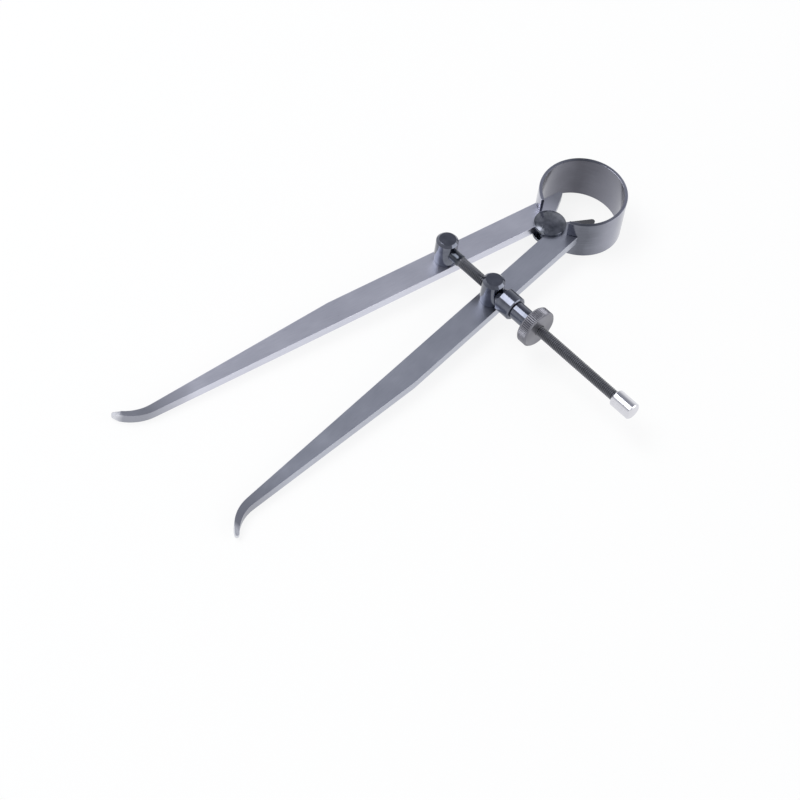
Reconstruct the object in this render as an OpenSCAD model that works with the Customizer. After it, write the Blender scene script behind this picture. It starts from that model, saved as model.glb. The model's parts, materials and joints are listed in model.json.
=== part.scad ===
// Toolmaker's inside caliper with a bow spring, lying flat with its posts up.
// Two hooked legs rock on a waisted fulcrum stud. The bow spring grips their tails in notches
// and drives the tips apart, and a nut on a swivelling screw holds them where they are set.
// All sizes are in millimetres and all angles in degrees.

/* [Legs] */
// Length of a leg from the fulcrum axis to its tip
leg_len = 150; // [120:1:200]
// Width of a leg between its straight edges
leg_w = 7.6; // [7:0.1:9]
// Thickness of a leg
leg_t = 3; // [2.4:0.1:4]
// Distance from the fulcrum axis to the inner edge of a leg
leg_inset = 1.55; // [1.2:0.05:2]
// Angle between the two legs as they are set
leg_spread = 14.7; // [10:0.1:20]
// Distance from the fulcrum axis to where the outer edge starts to taper
taper_start = 75; // [55:1:95]
// Width of a leg where its hook starts
neck_w = 2.65; // [2.4:0.05:3.6]
// Distance from the fulcrum axis to the centre of the round end of a tail
tail_len = 10.3; // [9:0.1:11]
// Offset from the fulcrum axis of the slanted inner edge of a tail, where it would cross the axis
tail_inset = -0.3; // [-0.5:0.05:0.6]
// Radius of the round end of a tail
tail_r = 0.8; // [0.5:0.05:1.2]

/* [Tips] */
// Radius of the back of a hook
hook_r = 13.7; // [10:0.1:18]
// Width of a hook at its tip
tip_w = 1.3; // [0.8:0.05:1.8]
// Angle through which a hook turns outward
hook_turn = 52; // [40:1:65]
// Length of the two bevels ground on a tip
bevel_len = 2.6; // [2:0.1:5]
// Thickness left at the end of a tip
tip_t = 1; // [0.8:0.1:1.8]

/* [Bow spring] */
// Outer diameter of the bow
bow_d = 26.9; // [25:0.1:30]
// Width of the spring strip at its crown
bow_w = 15.2; // [12:0.1:18]
// Width that the strip's tapered edges have in line with the fulcrum axis
fork_w = 13; // [10:0.1:16]
// Thickness of the spring strip
bow_t = 1.05; // [0.8:0.05:1.4]
// Distance from the fulcrum axis to the centre of the bow
bow_rise = 13.35; // [12.8:0.05:14.2]
// How far the strip runs into the notch of a leg
notch_depth = 2.4; // [1.8:0.1:2.8]
// Length of the prongs that straddle a leg
prong_len = 1.4; // [1:0.1:1.8]

/* [Fulcrum stud] */
// Diameter of the waist that the legs rock on
waist_d = 5.8; // [5:0.1:6.4]
// Diameter of the two flanges
flange_d = 9.8; // [8:0.1:10.4]
// Thickness of a flange at its rim
flange_t = 0.9; // [0.6:0.1:1.4]
// Height of the dome on a flange
dome_h = 0.8; // [0.4:0.1:1.2]

/* [Posts] */
// Distance from the fulcrum axis to a post, along the leg
post_station = 35.5; // [30:0.5:45]
// Diameter of a post
post_d = 6.7; // [6:0.1:7.4]
// Height of a post above its leg
post_h = 8.9; // [8:0.1:11]
// Chamfer round the top of a post
post_chamfer = 0.8; // [0.3:0.05:1]
// Height of the screw axis above the legs
screw_h = 4.6; // [4:0.1:5.2]
// Diameter of the pivot under a post
pivot_d = 3.8; // [3:0.1:4.4]
// Diameter of the peened head that holds the washer
peen_d = 5; // [4.6:0.1:5.6]
// Height of the peened head
peen_h = 0.7; // [0.5:0.1:1]
// Diameter of the washer under a leg
washer_d = 6.4; // [5.8:0.1:7.2]
// Thickness of the washer
washer_t = 0.6; // [0.4:0.1:0.9]

/* [Screw] */
// Length of the screw from the axis of its post to the end of its cap
screw_len = 77.5; // [65:0.5:95]
// Outer diameter of the thread
thread_d = 3.3; // [3.2:0.1:3.6]
// Diameter of the plain neck
neck_d = 3.7; // [2.8:0.1:4]
// Length of the plain neck from the axis of its post
neck_len = 6.4; // [5:0.1:9]
// Depth of the screw's seat past the axis of its post
seat_depth = 1.8; // [1.2:0.1:2.2]
// Diameter of the end cap
cap_d = 5.3; // [4.6:0.1:6.5]
// Length of the end cap
cap_len = 7.1; // [5:0.1:10]
// Chamfer at both ends of the cap
cap_chamfer = 0.35; // [0.2:0.05:0.6]
// Diameter of the stem that the cap sits on
stem_d = 2.4; // [1.8:0.1:2.6]
// Length of the stem in the cap
stem_len = 4.6; // [3:0.1:4.8]

/* [Nut] */
// Diameter of the thrust collar
collar_d = 7.6; // [7:0.1:8.6]
// Length of the thrust collar from its nose to its end
collar_len = 6.5; // [5.5:0.1:8]
// Length of the collar's tapered nose
nose_len = 1.6; // [1:0.1:2.4]
// Diameter of the end of the nose
nose_d = 5.4; // [4.8:0.1:6.2]
// Chamfer on the end of the collar
collar_chamfer = 0.35; // [0.2:0.05:0.6]
// Diameter of the nut's shank
shank_d = 5.6; // [5:0.1:6.4]
// Length of the nut's shank
shank_len = 6.2; // [5:0.1:8]
// Diameter of the nut's knurled disc
disc_d = 12.1; // [10:0.1:14]
// Thickness of the disc
disc_t = 3.6; // [2.4:0.1:5]
// Chamfer on both edges of the disc
disc_chamfer = 0.45; // [0.2:0.05:0.6]

/* [Clearances] */
// Radial clearance of a turning or sliding fit
run_gap = 0.06; // [0.02:0.01:0.09]
// Gap between faces that slide on each other
face_gap = 0.05; // [0.02:0.01:0.1]
// Gap round the spring strip in the notch of a leg
notch_gap = 0.1; // [0.05:0.01:0.15]

/* [Hidden] */
$fn = 96;

// Overlap of a cutting shape past the face that it cuts
cut_over = 1;

// Plan frame: fulcrum axis at x = y = 0, bow towards +y, middle of the legs' thickness at z = 0.
// Leg frame: the same before the leg turns out by half the spread, with the tip towards -y.
half_spread = leg_spread / 2;
leg_outer = leg_inset + leg_w;
leg_mid = leg_inset + leg_w / 2;

// Hook: its back is an arc about hook_c that runs on from the inner edge of the leg
tip_dir = -[cos(hook_turn), sin(hook_turn)];
hook_start = leg_len - (hook_r - tip_w / 2) * sin(hook_turn) - tip_w / 2;
hook_c = [leg_inset + hook_r, -hook_start];
tip_c = hook_c + (hook_r - tip_w / 2) * tip_dir;
// Its front is an arc about front_c that runs on from the tapered edge and ends a tip's width from the back
front_from = [leg_inset + neck_w, -hook_start];
front_run = hook_c + (hook_r - tip_w) * tip_dir - front_from;
taper_aim = front_from - [leg_outer, -taper_start];
taper_dir = taper_aim / norm(taper_aim);
front_dir = [-taper_dir.y, taper_dir.x];
front_r = front_run * front_run / (2 * front_run * front_dir);
front_c = front_from + front_r * front_dir;

// Tail: its inner edge leaves the stud's seat and touches the round end
tail_c = [leg_outer - tail_r, tail_len];
tail_from = [tail_inset, 0];
tail_aim = tail_c - tail_from;
tail_turn = atan2(tail_aim.y, tail_aim.x) + asin(tail_r / norm(tail_aim));
tail_touch = tail_c + tail_r * [-sin(tail_turn), cos(tail_turn)];

// Bow: the angles are measured at its centre, from the side that faces the tips
bow_mid_r = (bow_d - bow_t) / 2;
bow_in_r = bow_d / 2 - bow_t;
bow_c = [0, bow_rise];
edge_angle = half_spread + asin((leg_outer - bow_rise * sin(half_spread)) / bow_mid_r);
notch_angle = edge_angle - notch_depth / bow_mid_r * 180 / PI;
prong_angle = notch_angle - prong_len / bow_mid_r * 180 / PI;
gap_angle = notch_gap / bow_mid_r * 180 / PI;
// Angle at which the notch is well clear of the leg
clear_angle = edge_angle + 20;
// How much an edge of the strip moves out for each millimetre towards the crown
bow_crown = bow_rise + bow_d / 2;
bow_slope = (bow_w - fork_w) / 2 / bow_crown;

// Posts and screw
function turned(p) = [
    p.x * cos(half_spread) - p.y * sin(half_spread),
    p.x * sin(half_spread) + p.y * cos(half_spread)
];
post_at = turned([leg_mid, -post_station]);
leg_top = leg_t / 2;
screw_z = leg_top + screw_h;
seat_r = waist_d / 2 + run_gap;
bore_r = thread_d / 2 + run_gap;
// Distances from the axis of the nut post to the nose of the collar, the nut's shank and its disc
nose_at = post_d / 2 + face_gap;
shank_at = nose_at + collar_len + face_gap;
disc_at = shank_at + shank_len;

// Corner of the whole part, which stands with the middle of its base at the origin
tip_at = turned(tip_c);
low_x = -(tip_at.x + tip_w / 2);
high_x = screw_len - post_at.x;
low_y = tip_at.y - tip_w / 2;
high_y = bow_crown;
base_shift = [-(low_x + high_x) / 2, -(low_y + high_y) / 2, bow_w / 2];

// Part of a ring about the bow's centre, between two angles, over the given height
module bow_arc(inner_r, outer_r, from_angle, to_angle, height) {
    translate([bow_c.x, bow_c.y, 0])
        rotate([0, 0, from_angle - 90])
            rotate_extrude(angle = to_angle - from_angle)
                translate([inner_r, -height / 2])
                    square([outer_r - inner_r, height]);
}

// Outline of a leg in the leg frame, without its holes
module leg_outline() {
    hook_corner = 2 * hook_r;
    polygon([
        tail_from,
        [leg_inset, 0],
        [leg_inset, -hook_start],
        front_from,
        [leg_outer, -taper_start],
        [leg_outer, tail_c.y],
        tail_c,
        tail_touch
    ]);
    translate(tail_c)
        circle(r = tail_r);
    intersection() {
        difference() {
            translate(hook_c)
                circle(r = hook_r, $fn = 180);
            translate(front_c)
                circle(r = front_r, $fn = 180);
        }
        translate(hook_c)
            polygon([
                [0, 0],
                [-hook_corner, 0],
                hook_corner * [-1, -tan(hook_turn / 2)],
                hook_corner * tip_dir
            ]);
    }
    translate(tip_c)
        circle(d = tip_w);
}

// Wedge that grinds the upper face of a tip down towards its end
module tip_bevel() {
    slope = atan2((leg_t - tip_t) / 2, bevel_len);
    reach = 2 * bevel_len;
    translate([tip_c.x, tip_c.y, tip_t / 2])
        rotate([0, 0, hook_turn + 180])
            translate([0, tip_w / 2, 0])
                rotate([-slope, 0, 0])
                    translate([-reach, -reach, 0])
                        cube([2 * reach, 2 * reach, leg_t]);
}

// One leg in the plan frame, on the +x side
module leg() {
    difference() {
        rotate([0, 0, half_spread])
            difference() {
                translate([0, 0, -leg_t / 2])
                    linear_extrude(leg_t)
                        leg_outline();
                translate([leg_mid, -post_station, -leg_t / 2 - cut_over])
                    cylinder(r = pivot_d / 2 + run_gap, h = leg_t + 2 * cut_over);
                tip_bevel();
                mirror([0, 0, 1])
                    tip_bevel();
            }
        translate([0, 0, -leg_t / 2 - cut_over])
            cylinder(r = seat_r, h = leg_t + 2 * cut_over);
        bow_arc(bow_in_r - notch_gap, bow_d / 2 + notch_gap, notch_angle, clear_angle, leg_t + 2 * cut_over);
    }
}

// Solid of revolution about the screw axis, from the axis of the nut post outwards.
// The profile lists [distance along the axis, radius].
module turned_on_screw(profile) {
    ends = [for (i = [0, len(profile) - 1]) profile[i].x];
    translate([post_at.x, post_at.y, screw_z])
        rotate([0, 90, 0])
            rotate_extrude()
                polygon(concat([[0, ends[0]]], [for (p = profile) [p.y, p.x]], [[0, ends[1]]]));
}

// Bore along the screw axis, measured from the axis of the nut post
module screw_bore(r, from, to) {
    translate([post_at.x + from, post_at.y, screw_z])
        rotate([0, 90, 0])
            cylinder(r = r, h = to - from);
}

// Post with its pivot and peened head, standing on the +x leg
module post_blank() {
    translate([post_at.x, post_at.y, leg_top])
        rotate_extrude()
            polygon([
                [0, -leg_t - 2 * face_gap - washer_t - peen_h],
                [peen_d / 2 - peen_h, -leg_t - 2 * face_gap - washer_t - peen_h],
                [peen_d / 2, -leg_t - 2 * face_gap - washer_t],
                [pivot_d / 2, -leg_t - 2 * face_gap - washer_t],
                [pivot_d / 2, face_gap],
                [post_d / 2, face_gap],
                [post_d / 2, post_h - post_chamfer],
                [post_d / 2 - post_chamfer, post_h],
                [0, post_h]
            ]);
}

// Washer between the +x leg and the peened head of its post
module post_washer() {
    translate([post_at.x, post_at.y, -leg_top - face_gap - washer_t])
        difference() {
            cylinder(d = washer_d, h = washer_t);
            translate([0, 0, -cut_over])
                cylinder(r = pivot_d / 2 + run_gap, h = washer_t + 2 * cut_over);
        }
}

module left_leg() {
    color([0.60, 0.61, 0.65])
        mirror([1, 0, 0])
            leg();
}

module right_leg() {
    color([0.60, 0.61, 0.65])
        leg();
}

// Wedge between the two tapered edges of the spring strip
module bow_taper() {
    back = bow_crown + cut_over;
    back_half = fork_w / 2 + bow_slope * back;
    rotate([90, 0, 90])
        linear_extrude(bow_d + 2 * cut_over, center = true)
            polygon([
                [0, -fork_w / 2],
                [back, -back_half],
                [back, back_half],
                [0, fork_w / 2]
            ]);
}

// Tapered strip bent to a circle, with a fork at each end that straddles a leg
module bow_spring() {
    slot_h = leg_t + 2 * face_gap;
    color([0.47, 0.48, 0.52])
        difference() {
            intersection() {
                bow_arc(bow_in_r, bow_d / 2, prong_angle, 360 - prong_angle, bow_w + 2 * cut_over);
                bow_taper();
            }
            for (side = [0, 1])
                mirror([side, 0, 0])
                    bow_arc(bow_in_r - cut_over, bow_d / 2 + cut_over, 0, notch_angle + gap_angle, slot_h);
        }
}

// Spool with a waist for the seats of the legs and a domed flange above and below them
module fulcrum_stud() {
    flange_at = leg_top + face_gap;
    dome_r = (pow(flange_d / 2, 2) + pow(dome_h, 2)) / (2 * dome_h);
    color([0.16, 0.17, 0.20]) {
        translate([0, 0, -flange_at])
            cylinder(d = waist_d, h = 2 * flange_at);
        for (side = [0, 1])
            mirror([0, 0, side])
                translate([0, 0, flange_at]) {
                    cylinder(d = flange_d, h = flange_t);
                    translate([0, 0, flange_t])
                        intersection() {
                            cylinder(d = flange_d, h = dome_h);
                            translate([0, 0, dome_h - dome_r])
                                sphere(r = dome_r, $fn = 180);
                        }
                }
    }
}

// The screw's post has a blind seat that opens towards the nut post
module screw_post() {
    color([0.14, 0.15, 0.18])
        difference() {
            mirror([1, 0, 0])
                post_blank();
            translate([-post_at.x - seat_depth, post_at.y, screw_z])
                rotate([0, 90, 0])
                    cylinder(d = neck_d, h = post_d);
        }
}

module screw_post_washer() {
    color([0.20, 0.21, 0.24])
        mirror([1, 0, 0])
            post_washer();
}

module nut_post() {
    color([0.14, 0.15, 0.18])
        difference() {
            post_blank();
            screw_bore(bore_r, -post_d, post_d);
        }
}

module nut_post_washer() {
    color([0.20, 0.21, 0.24])
        post_washer();
}

// Screw with a plain neck in its post, a long threaded stretch and a stem for the cap
module adjusting_screw() {
    cap_at = screw_len - cap_len;
    step = abs(thread_d - neck_d) / 2;
    color([0.27, 0.26, 0.26])
        translate([-post_at.x, post_at.y, screw_z])
            rotate([0, 90, 0])
                rotate_extrude()
                    polygon([
                        [0, -seat_depth],
                        [neck_d / 2, -seat_depth],
                        [neck_d / 2, neck_len - step],
                        [thread_d / 2, neck_len],
                        [thread_d / 2, cap_at],
                        [stem_d / 2, cap_at],
                        [stem_d / 2, cap_at + stem_len],
                        [0, cap_at + stem_len]
                    ]);
}

module end_cap() {
    cap_at = screw_len - cap_len;
    color([0.80, 0.81, 0.83])
        translate([cap_at - post_at.x, post_at.y, screw_z])
            rotate([0, 90, 0])
                rotate_extrude()
                    polygon([
                        [stem_d / 2, 0],
                        [cap_d / 2 - cap_chamfer, 0],
                        [cap_d / 2, cap_chamfer],
                        [cap_d / 2, cap_len - cap_chamfer],
                        [cap_d / 2 - cap_chamfer, cap_len],
                        [0, cap_len],
                        [0, stem_len],
                        [stem_d / 2, stem_len]
                    ]);
}

// Sleeve between the nut and its post, narrowed towards the post
module thrust_collar() {
    color([0.13, 0.14, 0.17])
        difference() {
            turned_on_screw([
                [nose_at, nose_d / 2],
                [nose_at + nose_len, collar_d / 2],
                [nose_at + collar_len - collar_chamfer, collar_d / 2],
                [nose_at + collar_len, collar_d / 2 - collar_chamfer]
            ]);
            screw_bore(bore_r, 0, nose_at + collar_len + cut_over);
        }
}

// Knurled disc and its shank in one piece
module adjusting_nut() {
    color([0.42, 0.42, 0.45])
        difference() {
            turned_on_screw([
                [shank_at, shank_d / 2],
                [disc_at, shank_d / 2],
                [disc_at, disc_d / 2 - disc_chamfer],
                [disc_at + disc_chamfer, disc_d / 2],
                [disc_at + disc_t - disc_chamfer, disc_d / 2],
                [disc_at + disc_t, disc_d / 2 - disc_chamfer]
            ]);
            screw_bore(bore_r, shank_at - cut_over, disc_at + disc_t + cut_over);
        }
}

module on_base() {
    translate(base_shift)
        children();
}

on_base() left_leg();
on_base() right_leg();
on_base() bow_spring();
on_base() fulcrum_stud();
on_base() screw_post();
on_base() screw_post_washer();
on_base() nut_post();
on_base() nut_post_washer();
on_base() adjusting_screw();
on_base() end_cap();
on_base() thrust_collar();
on_base() adjusting_nut();
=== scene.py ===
# Looks of an inside spring caliper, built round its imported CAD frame. Lengths are in metres.
import json
import math

import bmesh
import bpy
from mathutils import Matrix, Vector


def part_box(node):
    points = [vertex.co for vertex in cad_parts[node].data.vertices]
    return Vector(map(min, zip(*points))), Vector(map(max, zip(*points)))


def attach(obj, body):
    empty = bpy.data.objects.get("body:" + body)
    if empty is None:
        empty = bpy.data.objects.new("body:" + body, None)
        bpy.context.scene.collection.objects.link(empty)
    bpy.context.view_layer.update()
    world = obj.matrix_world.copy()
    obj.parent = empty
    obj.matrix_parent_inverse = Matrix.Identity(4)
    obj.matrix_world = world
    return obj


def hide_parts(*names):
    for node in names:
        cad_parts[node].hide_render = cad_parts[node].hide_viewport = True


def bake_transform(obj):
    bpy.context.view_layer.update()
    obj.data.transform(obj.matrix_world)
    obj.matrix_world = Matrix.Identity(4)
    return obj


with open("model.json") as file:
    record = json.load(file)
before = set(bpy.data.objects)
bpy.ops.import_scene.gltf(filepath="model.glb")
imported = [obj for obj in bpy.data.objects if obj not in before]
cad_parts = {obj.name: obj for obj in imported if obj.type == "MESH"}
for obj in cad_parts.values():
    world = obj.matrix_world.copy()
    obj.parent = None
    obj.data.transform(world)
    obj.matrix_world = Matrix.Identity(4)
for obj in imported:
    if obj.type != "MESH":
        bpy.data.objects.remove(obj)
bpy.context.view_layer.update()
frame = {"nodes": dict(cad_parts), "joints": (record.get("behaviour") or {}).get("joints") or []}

MM = 0.001
JOINTS = {j["name"]: Vector(j["pos_m"]) for j in frame["joints"]}
FULCRUM = JOINTS["leg_hinge"]
SCREW_POST = JOINTS["screw_swivel"]
NUT_POST = JOINTS["nut_post_swivel"]
SCREW_Z = JOINTS["nut_spin"].z

# Legs: half the angle between them, their thickness, and the distance in y from fulcrum to resting tips
HALF_SPREAD = math.radians(7.35)
LEG_T = 3 * MM
TIP_REACH = 146.2 * MM

# Bow spring: the angles are measured at its centre, from the side that faces the tips
BOW_RISE = 13.35 * MM
BOW_R = 26.9 / 2 * MM
BOW_T = 1.05 * MM
BOW_W = 15.2 * MM
FORK_W = 13 * MM
BOW_SLOPE = (BOW_W - FORK_W) / 2 / (BOW_RISE + BOW_R)
PRONG_END = math.radians(25.66)
NOTCH_END = math.radians(32.31)
SLOT_H = 3.1 * MM
BOW_EDGE = 0.16 * MM
BOW_CENTRE = FULCRUM + Vector((0, BOW_RISE, 0))

# Bow: how far inside the wall the crown is cut off
CROWN_CUT = 0.15 * MM

# Screw, from the axis of its post. Root and flank of the thread are shares of half a turn.
SEAT_DEPTH = 1.8 * MM
NECK_R = 1.85 * MM
NECK_LEN = 6.4 * MM
THREAD_R = 1.65 * MM
THREAD_DEPTH = 0.3 * MM
THREAD_PITCH = 0.6 * MM
THREAD_ROOT = 0.12
THREAD_FLANK = 0.7
CAP_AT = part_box("end_cap")[0].x - SCREW_POST.x
STEM_R = 1.2 * MM
STEM_LEN = 4.6 * MM

# Nut, from the axis of its post
NUT_LOW, NUT_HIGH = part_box("adjusting_nut")
BORE_R = 1.71 * MM
SHANK_AT = NUT_LOW.x - NUT_POST.x
SHANK_R = 2.8 * MM
DISC_T = 3.6 * MM
DISC_AT = NUT_HIGH.x - NUT_POST.x - DISC_T
DISC_R = (NUT_HIGH.z - NUT_LOW.z) / 2
DISC_CHAMFER = 0.45 * MM
KNURL_TEETH = 64
KNURL_DEPTH = 0.22 * MM

# Finish: depth of the bump, and where another tone starts and stops along a leg and across the bow
BUMP_DEPTH = 0.02 * MM
# The tail tone is painted shade, where the tail lies inside the bow
TAIL_SHADE_FADE = (2 * MM, 8 * MM)
HOOK_FADE = (-124 * MM, -142 * MM)
TIP_FADE = (-147.2 * MM, -148.8 * MM)
# The bow's tone is a painted reflection that makes two sides of the bow brighter
BOW_SHEEN_FADE = (1 * MM, 14 * MM)
BOW_SHEEN_TURN = math.radians(47)

# Floor: the share of plain white in it; the rest is lit and takes the shadow
FLOOR_WHITE = 0.84


# Materials

def new_material(name):
    material = bpy.data.materials.new(name)
    material.use_nodes = True
    return material, material.node_tree.nodes, material.node_tree.links


def noise(nodes, links, vector, scale, detail=3.0, roughness=0.5):
    node = nodes.new("ShaderNodeTexNoise")
    node.inputs["Scale"].default_value = scale
    node.inputs["Detail"].default_value = detail
    node.inputs["Roughness"].default_value = roughness
    links.new(vector, node.inputs["Vector"])
    return node.outputs["Fac"]


def mapped(nodes, links, scale=(1, 1, 1), angle=0.0, at=(0, 0, 0)):
    coord = nodes.new("ShaderNodeTexCoord")
    shift = nodes.new("ShaderNodeMapping")
    shift.vector_type = "TEXTURE"
    shift.inputs["Location"].default_value = at
    shift.inputs["Rotation"].default_value = (0, 0, angle)
    links.new(coord.outputs["Object"], shift.inputs["Vector"])
    stretch = nodes.new("ShaderNodeMapping")
    stretch.inputs["Scale"].default_value = scale
    links.new(shift.outputs["Vector"], stretch.inputs["Vector"])
    return stretch.outputs["Vector"]


def ranged(nodes, links, value, low, high, from_low=0.3, from_high=0.7):
    node = nodes.new("ShaderNodeMapRange")
    node.inputs["From Min"].default_value = from_low
    node.inputs["From Max"].default_value = from_high
    node.inputs["To Min"].default_value = low
    node.inputs["To Max"].default_value = high
    links.new(value, node.inputs["Value"])
    return node.outputs["Result"]


def tinted(nodes, links, value, dark, light):
    node = nodes.new("ShaderNodeMix")
    node.data_type = "RGBA"
    node.inputs["A"].default_value = (*dark, 1)
    node.inputs["B"].default_value = (*light, 1)
    links.new(value, node.inputs["Factor"])
    return node.outputs["Result"]


def added(nodes, links, a, b):
    node = nodes.new("ShaderNodeMath")
    node.operation = "ADD"
    links.new(a, node.inputs[0])
    links.new(b, node.inputs[1])
    return node.outputs["Value"]


def seen_ray(nodes, links):
    """1 for a ray that shows the background: from the camera, in a reflection or through glass."""
    path = nodes.new("ShaderNodeLightPath")
    total = added(nodes, links, path.outputs["Is Camera Ray"], path.outputs["Is Glossy Ray"])
    total = added(nodes, links, total, path.outputs["Is Transmission Ray"])
    return ranged(nodes, links, total, 0, 1, 0, 1)


def bumped(nodes, links, value, strength, shader):
    node = nodes.new("ShaderNodeBump")
    node.inputs["Strength"].default_value = strength
    node.inputs["Distance"].default_value = BUMP_DEPTH
    links.new(value, node.inputs["Height"])
    links.new(node.outputs["Normal"], shader.inputs["Normal"])


def spread_across(nodes, links, shader, amount, across):
    """Widens the gloss across the grinding marks.
    Across is a direction of the piece, or None for a turned face."""
    shader.inputs["Anisotropic"].default_value = amount
    if across is None:
        shader.inputs["Anisotropic Rotation"].default_value = 0.25
        tangent = nodes.new("ShaderNodeTangent")
        tangent.direction_type = "RADIAL"
        tangent.axis = "X"
        links.new(tangent.outputs["Tangent"], shader.inputs["Tangent"])
        return
    way = nodes.new("ShaderNodeVectorTransform")
    way.vector_type = "VECTOR"
    way.convert_from, way.convert_to = "OBJECT", "WORLD"
    way.inputs["Vector"].default_value = across
    links.new(way.outputs["Vector"], shader.inputs["Tangent"])


def ground_steel(name, dark, light, rough, streak, bump, angle=0.0, spread=0.0, across=None, fades=()):
    """Bare steel with fine grinding marks, faint clouding and a few dull specks.
    Streak is how fine the marks are along each axis, turned by angle. Each of fades is another tone
    that comes in along an axis, as (colour, origin, angle, axis, (start, stop)), both ways for x."""
    material, nodes, links = new_material(name)
    shader = nodes["Principled BSDF"]
    shader.inputs["Metallic"].default_value = 1
    if spread:
        spread_across(nodes, links, shader, spread, across)
    grain = noise(nodes, links, mapped(nodes, links, streak, angle), 1.0, 4)
    cloud = noise(nodes, links, mapped(nodes, links, (1, 1, 1), angle), 90, 3)
    speck = noise(nodes, links, mapped(nodes, links, (1, 1, 1), angle), 900, 2)
    mark = ranged(nodes, links, speck, 0, -0.3, 0.68, 0.8)
    tone = added(nodes, links, ranged(nodes, links, grain, 0, 0.6), ranged(nodes, links, cloud, 0, 0.4))
    tone = added(nodes, links, tone, mark)
    colour = tinted(nodes, links, tone, dark, light)
    for other, origin, way, axis, (start, stop) in fades:
        split = nodes.new("ShaderNodeSeparateXYZ")
        links.new(mapped(nodes, links, (1, 1, 1), way, origin), split.inputs["Vector"])
        away = split.outputs[axis]
        if axis == "X":
            both = nodes.new("ShaderNodeMath")
            both.operation = "ABSOLUTE"
            links.new(away, both.inputs[0])
            away = both.outputs["Value"]
        wavy = added(nodes, links, away, ranged(nodes, links, cloud, -1 * MM, 1 * MM))
        blend = nodes.new("ShaderNodeMix")
        blend.data_type = "RGBA"
        blend.inputs["B"].default_value = (*other, 1)
        links.new(ranged(nodes, links, wavy, 0, 1, start, stop), blend.inputs["Factor"])
        links.new(colour, blend.inputs["A"])
        colour = blend.outputs["Result"]
    links.new(colour, shader.inputs["Base Color"])
    dull = added(nodes, links, ranged(nodes, links, grain, *rough), ranged(nodes, links, cloud, 0, 0.06))
    links.new(dull, shader.inputs["Roughness"])
    bumped(nodes, links, grain, bump, shader)
    return material


def oxide(name, dark, light, rough, streak):
    """Glossy black oxide on turned steel, with turning marks and handling haze."""
    material, nodes, links = new_material(name)
    shader = nodes["Principled BSDF"]
    shader.inputs["Metallic"].default_value = 1
    turning = noise(nodes, links, mapped(nodes, links, streak), 1.0, 3)
    haze = noise(nodes, links, mapped(nodes, links), 380, 4, 0.6)
    colour = tinted(nodes, links, ranged(nodes, links, haze, 0, 1), dark, light)
    links.new(colour, shader.inputs["Base Color"])
    dull = added(nodes, links, ranged(nodes, links, haze, *rough), ranged(nodes, links, turning, 0, 0.05))
    links.new(dull, shader.inputs["Roughness"])
    bumped(nodes, links, turning, 0.18, shader)
    return material


def thread_steel(name):
    """Dark oiled screw: the crests are rubbed brighter, and the roots are painted darker as shade."""
    material, nodes, links = new_material(name)
    shader = nodes["Principled BSDF"]
    shader.inputs["Metallic"].default_value = 1
    crest_wear_root_shade = nodes.new("ShaderNodeAttribute")
    crest_wear_root_shade.attribute_name = "crest_wear_root_shade"
    haze = noise(nodes, links, mapped(nodes, links, (120, 900, 900)), 1.0, 4)
    tone = added(nodes, links, ranged(nodes, links, crest_wear_root_shade.outputs["Fac"], 0, 0.7, 0, 1),
                 ranged(nodes, links, haze, 0, 0.3))
    colour = tinted(nodes, links, tone, (0.026, 0.027, 0.031), (0.21, 0.215, 0.24))
    links.new(colour, shader.inputs["Base Color"])
    links.new(ranged(nodes, links, haze, 0.17, 0.27), shader.inputs["Roughness"])
    bumped(nodes, links, haze, 0.2, shader)
    return material


def leg_steel(name, dark, light, tail_shade, hook, angle):
    """Ground along the leg, with a tail darkened by painted shade inside the bow, a hardened hook and a
    bright ground tip.
    """
    tip = (0.68, 0.69, 0.74)
    tones = [(tail_shade, TAIL_SHADE_FADE), (hook, HOOK_FADE), (tip, TIP_FADE)]
    fades = [(colour, FULCRUM, angle, "Y", reach) for colour, reach in tones]
    return ground_steel(name, dark, light, rough=(0.27, 0.34), streak=(9000, 220, 9000), bump=0.14,
                        angle=angle, spread=0.35, across=(math.cos(angle), math.sin(angle), 0), fades=fades)


def bow_steel(name, dark, light, side):
    """Tempered strip, ground round the bow, with a painted reflection that makes it brighter towards two
    sides.
    """
    return ground_steel(name, dark, light, rough=(0.12, 0.19), streak=(160, 160, 9000), bump=0.08,
                        spread=0.4, across=(0, 0, 1),
                        fades=[(side, BOW_CENTRE, BOW_SHEEN_TURN, "X", BOW_SHEEN_FADE)])


UPRIGHT_TURNING = (150, 150, 7000)
SCREW_TURNING = (7000, 150, 150)
# Both legs are one steel: the left copy is painted lighter and the right darker, as light and shade fall on
# them
leg_steel_painted_light = leg_steel("leg_steel_left", (0.60, 0.61, 0.70), (0.72, 0.73, 0.82),
                       tail_shade=(0.38, 0.39, 0.44), hook=(0.34, 0.35, 0.40), angle=-HALF_SPREAD)
leg_steel_painted_shade = leg_steel("leg_steel_right", (0.42, 0.44, 0.51), (0.52, 0.54, 0.62),
                        tail_shade=(0.16, 0.16, 0.17), hook=(0.30, 0.31, 0.36), angle=HALF_SPREAD)
# Side is the colour of the painted reflection towards two sides of the bow, outside and inside
spring_steel = bow_steel("spring_steel", (0.11, 0.115, 0.14), (0.175, 0.185, 0.22),
                         side=(0.42, 0.43, 0.51))
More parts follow.
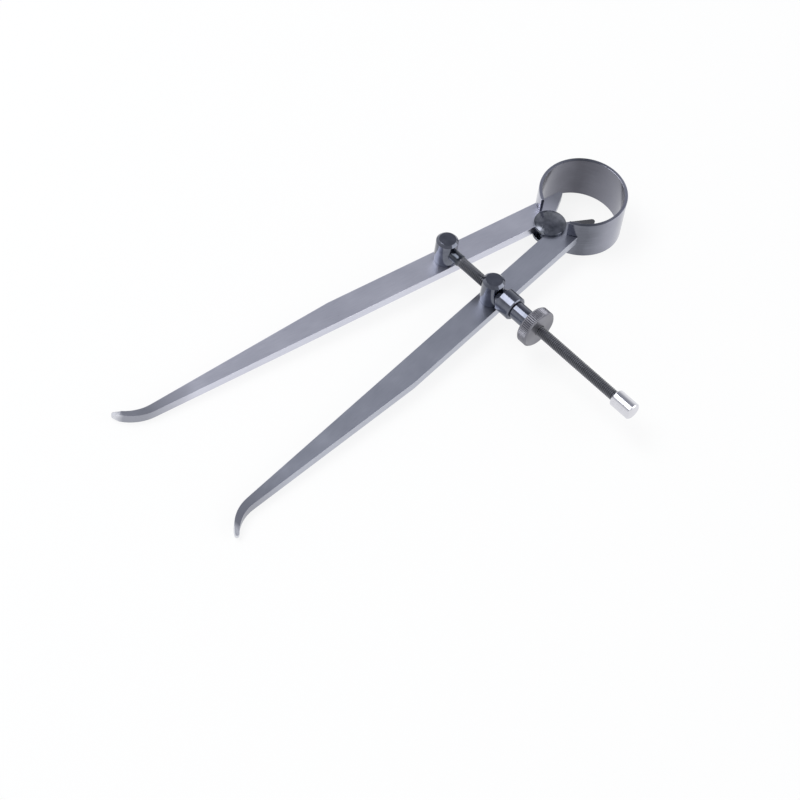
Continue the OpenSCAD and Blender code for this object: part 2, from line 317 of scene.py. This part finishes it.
# A darker copy of the strip's steel for the inside of the bow, as painted shade
inner_steel_painted_shade = bow_steel("spring_steel_inside_painted_shade", (0.08, 0.08, 0.097), (0.13, 0.132, 0.157),
                        side=(0.27, 0.275, 0.325))
post_oxide = oxide("post_oxide", (0.12, 0.13, 0.16), (0.18, 0.19, 0.23), (0.05, 0.11), UPRIGHT_TURNING)
stud_oxide = oxide("stud_oxide", (0.10, 0.11, 0.13), (0.24, 0.25, 0.29), (0.12, 0.22), UPRIGHT_TURNING)
turned_oxide = oxide("turned_oxide", (0.11, 0.12, 0.15), (0.17, 0.18, 0.22), (0.05, 0.11), SCREW_TURNING)
neck_oxide = oxide("neck_oxide", (0.05, 0.056, 0.07), (0.09, 0.10, 0.12), (0.14, 0.22), SCREW_TURNING)
screw_steel = thread_steel("screw_steel")
bright_steel = ground_steel("bright_steel", (0.62, 0.62, 0.66), (0.76, 0.76, 0.81), rough=(0.08, 0.13),
                            streak=(7000, 160, 160), bump=0.08)
disc_steel = ground_steel("disc_steel", (0.19, 0.19, 0.215), (0.31, 0.31, 0.345), rough=(0.33, 0.43),
                          streak=(6000, 260, 260), bump=0.3, spread=0.8)


# Geometry

def make_piece(name, mesh, materials):
    for polygon in mesh.polygons:
        polygon.use_smooth = True
    mesh.materials.clear()
    for material in materials:
        mesh.materials.append(material)
    piece = bpy.data.objects.new(name, mesh)
    bpy.context.scene.collection.objects.link(piece)
    return piece


def soften(piece):
    """Weights the normals by face area, so that flat faces stay flat beside their rounded edges.
    The modifier takes faces this small for empty ones, so it works on the piece in millimetres."""
    mesh = piece.data
    mesh.transform(Matrix.Scale(1 / MM, 4))
    weighted = piece.modifiers.new("face_weighted", "WEIGHTED_NORMAL")
    weighted.keep_sharp = True
    weighted.weight = 100
    shown = piece.evaluated_get(bpy.context.evaluated_depsgraph_get())
    normals = [corner.vector.copy() for corner in shown.data.corner_normals]
    piece.modifiers.remove(weighted)
    mesh.transform(Matrix.Scale(MM, 4))
    mesh.normals_split_custom_set(normals)


def finish_mesh(bm, name):
    bmesh.ops.recalc_face_normals(bm, faces=bm.faces)
    mesh = bpy.data.meshes.new(name)
    bm.to_mesh(mesh)
    bm.free()
    return mesh


def sharp_edges(bm, angle):
    limit = math.radians(angle)
    return [e for e in bm.edges if len(e.link_faces) == 2 and e.calc_face_angle(0) > limit]


def edged_copy(node, material, body, width=0.06 * MM, segments=2):
    """A new mesh in the shape of a CAD node with its sharp edges broken to a small radius."""
    bm = bmesh.new()
    bm.from_mesh(frame["nodes"][node].data)
    bmesh.ops.remove_doubles(bm, verts=bm.verts, dist=0.002 * MM)
    bmesh.ops.dissolve_limit(bm, angle_limit=math.radians(0.3), verts=bm.verts, edges=bm.edges)
    bmesh.ops.recalc_face_normals(bm, faces=bm.faces)
    bmesh.ops.bevel(bm, geom=sharp_edges(bm, 28), offset=width, segments=segments, profile=0.5,
                    affect="EDGES", clamp_overlap=True)
    name = node + "_finish"
    piece = make_piece(name, finish_mesh(bm, name), [material])
    soften(piece)
    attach(piece, body)
    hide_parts(node)


def revolved(rings, count, origin, radius):
    """Surface of revolution along +x, open at both ends. Rings are (distance, radius),
    and the function radius may vary a ring's radius with the angle."""
    bm = bmesh.new()
    loops = []
    for index, (along, r) in enumerate(rings):
        loop = []
        for step in range(count):
            turn = 2 * math.pi * step / count
            here = radius(index, along, r, turn)
            point = Vector((along, here * math.cos(turn), here * math.sin(turn)))
            loop.append(bm.verts.new(origin + point))
        loops.append(loop)
    for one, two in zip(loops, loops[1:]):
        for step in range(count):
            after = (step + 1) % count
            bm.faces.new((one[step], two[step], two[after], one[after]))
    return bm, loops


# Legs, stud, posts and small parts follow the CAD solids, with their edges broken

edged_copy("left_leg", leg_steel_painted_light, "left_leg", 0.14 * MM, 3)
edged_copy("right_leg", leg_steel_painted_shade, "right_leg", 0.14 * MM, 3)
edged_copy("fulcrum_stud", stud_oxide, "fulcrum", 0.10 * MM)
edged_copy("screw_post", post_oxide, "screw")
edged_copy("nut_post", post_oxide, "nut_post")
edged_copy("screw_post_washer", post_oxide, "screw")
edged_copy("nut_post_washer", post_oxide, "nut_post")
edged_copy("thrust_collar", turned_oxide, "nut_post")
edged_copy("end_cap", bright_steel, "screw")


# Bow spring: one strip with forked ends, cut into two arms and a crown between them

def bow_strip():
    """The whole strip as a grid of angles and levels, with the slot left out of its two ends.
    Levels are shares of half the width; None is an edge of the slot."""
    steps, prong_steps = 300, 6
    span, prong = 2 * math.pi - 2 * NOTCH_END, NOTCH_END - PRONG_END
    angles = [PRONG_END + prong * i / prong_steps for i in range(prong_steps)]
    angles += [NOTCH_END + span * i / steps for i in range(steps + 1)]
    angles += [2 * math.pi - NOTCH_END + prong * i / prong_steps for i in range(1, prong_steps + 1)]
    levels = [-1, -0.75, -0.5, None, 0, None, 0.5, 0.75, 1]
    middle = levels.index(0)
    last = len(angles) - 1
    bm = bmesh.new()
    grid = {}
    for side, r in enumerate((BOW_R - BOW_T, BOW_R)):
        for i, angle in enumerate(angles):
            x, y = r * math.sin(angle), -r * math.cos(angle)
            half = FORK_W / 2 + BOW_SLOPE * (BOW_RISE + y)
            for k, level in enumerate(levels):
                z = level * half if level is not None else math.copysign(SLOT_H / 2, k - middle)
                in_prong = i < prong_steps or i > last - prong_steps
                if not (in_prong and k == middle):
                    grid[side, i, k] = bm.verts.new(BOW_CENTRE + Vector((x, y, z)))
    outline = {}
    for i in range(last):
        in_prong = i < prong_steps or i >= last - prong_steps
        for k in range(len(levels) - 1):
            corners = [(i, k), (i + 1, k), (i + 1, k + 1), (i, k + 1)]
            if in_prong and k in (middle - 1, middle):
                continue
            bm.faces.new([grid[(0, *c)] for c in corners])
            bm.faces.new([grid[(1, *c)] for c in reversed(corners)])
            for a, b in zip(corners, corners[1:] + corners[:1]):
                if (b, a) in outline:
                    del outline[b, a]
                else:
                    outline[a, b] = True
    for a, b in outline:
        bm.faces.new((grid[(0, *b)], grid[(0, *a)], grid[(1, *a)], grid[(1, *b)]))
    bmesh.ops.recalc_face_normals(bm, faces=bm.faces)
    bmesh.ops.bevel(bm, geom=sharp_edges(bm, 50), offset=BOW_EDGE, segments=3, profile=0.5,
                    affect="EDGES", clamp_overlap=True)
    return bm


def bow_part(name, side):
    """The crown of the strip for side 0, else the arm between the crown and the fork on that side."""
    bm = bow_strip()
    bmesh.ops.bisect_plane(bm, geom=bm.verts[:] + bm.edges[:] + bm.faces[:], dist=1e-7, plane_co=crown_at,
                           plane_no=(0, 1 if side else -1, 0), clear_outer=True)
    if side:
        other = [v for v in bm.verts if (v.co.x - FULCRUM.x) * side < 0]
        bmesh.ops.delete(bm, geom=other, context="VERTS")
    seam = [e for e in bm.edges if e.is_boundary]
    bmesh.ops.holes_fill(bm, edges=seam)
    for edge in seam:
        edge.smooth = False
    piece = make_piece(name, finish_mesh(bm, name), [spring_steel, inner_steel_painted_shade])
    # Faces that look into the bow take the darker copy, painted shade
    for polygon in piece.data.polygons:
        inward = (BOW_CENTRE - polygon.center).to_2d().normalized()
        inside = polygon.normal.to_2d().dot(inward) > 0.6
        polygon.material_index = 1 if inside else 0
    soften(piece)
    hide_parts("bow_spring")
    return piece


# The crown is cut off just inside the inner wall of the bow
crown_at = BOW_CENTRE + Vector((0, BOW_R - BOW_T - CROWN_CUT, 0))
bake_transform(bow_part("bow_spring_left_arm", -1))
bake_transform(bow_part("bow_spring_right_arm", 1))
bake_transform(bow_part("bow_spring_crown", 0))


# Screw with a real thread

def screw_piece():
    count, per_turn = 40, 8
    turns = (CAP_AT - NECK_LEN) / THREAD_PITCH
    rings = [(-SEAT_DEPTH, 0.02 * MM), (-SEAT_DEPTH, NECK_R)]
    plain = NECK_LEN - (NECK_R - THREAD_R)
    rings += [(-SEAT_DEPTH + (plain + SEAT_DEPTH) * i / 12, NECK_R) for i in range(1, 13)]
    first = len(rings)
    steps = int(turns * per_turn)
    rings += [(NECK_LEN + (CAP_AT - NECK_LEN) * i / steps, THREAD_R) for i in range(steps + 1)]
    last = len(rings)
    rings += [(CAP_AT, STEM_R), (CAP_AT + STEM_LEN, STEM_R), (CAP_AT + STEM_LEN, 0.02 * MM)]
    crest_wear_root_shade_values = []

    def radius(index, along, r, turn):
        if not first <= index < last:
            crest_wear_root_shade_values.append(0.5)
            return r
        phase = ((along - NECK_LEN) / THREAD_PITCH - turn / (2 * math.pi)) % 1
        height = 1 - abs(2 * phase - 1)
        height = min(1, max(0, (height - THREAD_ROOT) / THREAD_FLANK))
        run = min(1, (along - NECK_LEN) / (2 * THREAD_PITCH), (CAP_AT - along) / THREAD_PITCH)
        crest_wear_root_shade_values.append(height * run + 0.5 * (1 - run))
        return r - THREAD_DEPTH * (1 - height) * run

    origin = Vector((SCREW_POST.x, SCREW_POST.y, SCREW_Z))
    bm, loops = revolved(rings, count, origin, radius)
    bm.faces.new(loops[0])
    bm.faces.new(loops[-1])
    mesh = finish_mesh(bm, "adjusting_screw_finish")
    # High on the crests, which are rubbed brighter, and low in the roots, which are painted darker as shade
    crest_wear_root_shade = mesh.attributes.new("crest_wear_root_shade", "FLOAT", "POINT")
    crest_wear_root_shade.data.foreach_set("value", crest_wear_root_shade_values)
    piece = make_piece("adjusting_screw_finish", mesh, [screw_steel, neck_oxide])
    for polygon in mesh.polygons:
        polygon.material_index = 1 if polygon.center.x < origin.x + NECK_LEN else 0
    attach(piece, "screw")
    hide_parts("adjusting_screw")


screw_piece()


# Nut with a straight knurl on its rim

def nut_piece():
    per_tooth = 6
    count = KNURL_TEETH * per_tooth
    edge = 0.08 * MM
    face = DISC_AT + DISC_T
    rings = [
        (SHANK_AT, BORE_R), (SHANK_AT, SHANK_R - edge), (SHANK_AT + edge * 0.3, SHANK_R - edge * 0.3),
        (SHANK_AT + edge, SHANK_R), (DISC_AT - edge, SHANK_R), (DISC_AT - edge * 0.3, SHANK_R + edge * 0.3),
        (DISC_AT, SHANK_R + edge), (DISC_AT, DISC_R - DISC_CHAMFER - edge),
        (DISC_AT + edge * 0.3, DISC_R - DISC_CHAMFER),
        (DISC_AT + DISC_CHAMFER, DISC_R - 0.02 * MM), (DISC_AT + DISC_CHAMFER + edge, DISC_R),
        (DISC_AT + DISC_T / 2, DISC_R),
        (face - DISC_CHAMFER - edge, DISC_R), (face - DISC_CHAMFER, DISC_R - 0.02 * MM),
        (face - edge * 0.3, DISC_R - DISC_CHAMFER), (face, DISC_R - DISC_CHAMFER - edge),
        (face, BORE_R + edge), (face - edge, BORE_R)
    ]

    def radius(index, along, r, turn):
        if r < DISC_R - DISC_CHAMFER / 2:
            return r
        phase = (turn * KNURL_TEETH / (2 * math.pi)) % 1
        return r - KNURL_DEPTH * (1 - min(1, 1.5 * (1 - abs(2 * phase - 1))))

    origin = Vector((NUT_POST.x, NUT_POST.y, SCREW_Z))
    bm, loops = revolved(rings, count, origin, radius)
    for step in range(count):
        after = (step + 1) % count
        bm.faces.new((loops[-1][step], loops[0][step], loops[0][after], loops[-1][after]))
    mesh = finish_mesh(bm, "adjusting_nut_finish")
    piece = make_piece("adjusting_nut_finish", mesh, [turned_oxide, disc_steel])
    for polygon in mesh.polygons:
        polygon.material_index = 1 if polygon.center.x > origin.x + DISC_AT - edge else 0
    mesh.set_sharp_from_angle(angle=math.radians(40))
    soften(piece)
    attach(piece, "nut")
    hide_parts("adjusting_nut")


nut_piece()


# Floor: a pale plane that touches the crown of the bow and the undersides of the tips

def floor_piece():
    crown_y = BOW_CENTRE.y + BOW_R
    tip_y = FULCRUM.y - TIP_REACH
    rise = (FULCRUM.z - LEG_T / 2) / (tip_y - crown_y)
    size, gap = 3, 0.02 * MM
    corners = [(-size, -size), (size, -size), (size, size), (-size, size)]
    mesh = bpy.data.meshes.new("floor")
    mesh.from_pydata([(x, y, rise * (y - crown_y) - gap) for x, y in corners], [], [(0, 1, 2, 3)])
    floor = bpy.data.objects.new("floor", mesh)
    bpy.context.scene.collection.objects.link(floor)
    material, nodes, links = new_material("pale_floor")
    nodes.remove(nodes["Principled BSDF"])
    diffuse = nodes.new("ShaderNodeBsdfDiffuse")
    diffuse.inputs["Color"].default_value = (0.9, 0.9, 0.9, 1)
    glow = nodes.new("ShaderNodeEmission")
    glow.inputs["Color"].default_value = (1, 1, 1, 1)
    part = nodes.new("ShaderNodeMath")
    part.operation = "MULTIPLY"
    part.inputs[1].default_value = FLOOR_WHITE
    links.new(seen_ray(nodes, links), part.inputs[0])
    mix = nodes.new("ShaderNodeMixShader")
    links.new(part.outputs["Value"], mix.inputs["Fac"])
    links.new(diffuse.outputs["BSDF"], mix.inputs[1])
    links.new(glow.outputs["Emission"], mix.inputs[2])
    links.new(mix.outputs["Shader"], nodes["Material Output"].inputs["Surface"])
    mesh.materials.append(material)


floor_piece()


# World: white all round, with a greyer ceiling

def make_world():
    world = bpy.data.worlds.new("studio")
    bpy.context.scene.world = world
    world.use_nodes = True
    nodes, links = world.node_tree.nodes, world.node_tree.links
    coord = nodes.new("ShaderNodeTexCoord")
    split = nodes.new("ShaderNodeSeparateXYZ")
    links.new(coord.outputs["Generated"], split.inputs["Vector"])
    ramp = nodes.new("ShaderNodeValToRGB")
    ramp.color_ramp.elements[0].position = 0.2
    ramp.color_ramp.elements[0].color = (1, 1, 1, 1)
    ramp.color_ramp.elements[1].position = 0.80
    ramp.color_ramp.elements[1].color = (0.32, 0.33, 0.37, 1)
    links.new(split.outputs["Z"], ramp.inputs["Fac"])
    shown = nodes["Background"]
    links.new(ramp.outputs["Color"], shown.inputs["Color"])
    shown.inputs["Strength"].default_value = 1
    ambient = nodes.new("ShaderNodeBackground")
    ambient.inputs["Color"].default_value = (0.95, 0.97, 1, 1)
    ambient.inputs["Strength"].default_value = 0.6
    mix = nodes.new("ShaderNodeMixShader")
    links.new(seen_ray(nodes, links), mix.inputs["Fac"])
    links.new(ambient.outputs["Background"], mix.inputs[1])
    links.new(shown.outputs["Background"], mix.inputs[2])
    links.new(mix.outputs["Shader"], nodes["World Output"].inputs["Surface"])


make_world()


def area_lamp(name, at, size, power):
    """A soft lamp that is aimed at the origin."""
    lamp = bpy.data.lights.new(name, "AREA")
    lamp.shape = "RECTANGLE"
    lamp.size, lamp.size_y = size
    lamp.energy = power
    lamp_object = bpy.data.objects.new(name, lamp)
    lamp_object.location = at
    lamp_object.rotation_mode = "QUATERNION"
    lamp_object.rotation_quaternion = (-Vector(at)).to_track_quat("-Z", "Y")
    bpy.context.scene.collection.objects.link(lamp_object)


area_lamp("key_lamp", at=(-0.55, -0.35, 1.15), size=(1.0, 0.7), power=9)
area_lamp("side_lamp", at=(1.1, 0.9, 0.7), size=(1.4, 1.0), power=6)


# Camera at the photograph's place

camera_data = bpy.data.cameras.new("camera")
camera_data.sensor_width = 36
camera_data.lens = 135
camera_data.clip_start = 0.05
camera_data.clip_end = 20
camera = bpy.data.objects.new("camera", camera_data)
right = Vector((0.67892531, 0.72648461, 0.10620992))
down = Vector((0.62017005, -0.49001027, -0.61260023))
forward = Vector((-0.39300068, 0.48177801, -0.78322437))
turn = Matrix((right, -down, -forward)).transposed()
place = FULCRUM + Vector((355.127, -491.031, 668.033)) * MM
camera.matrix_world = Matrix.Translation(place) @ turn.to_4x4()
bpy.context.scene.collection.objects.link(camera)
bpy.context.scene.camera = camera

bpy.context.scene.view_settings.view_transform = "Standard"
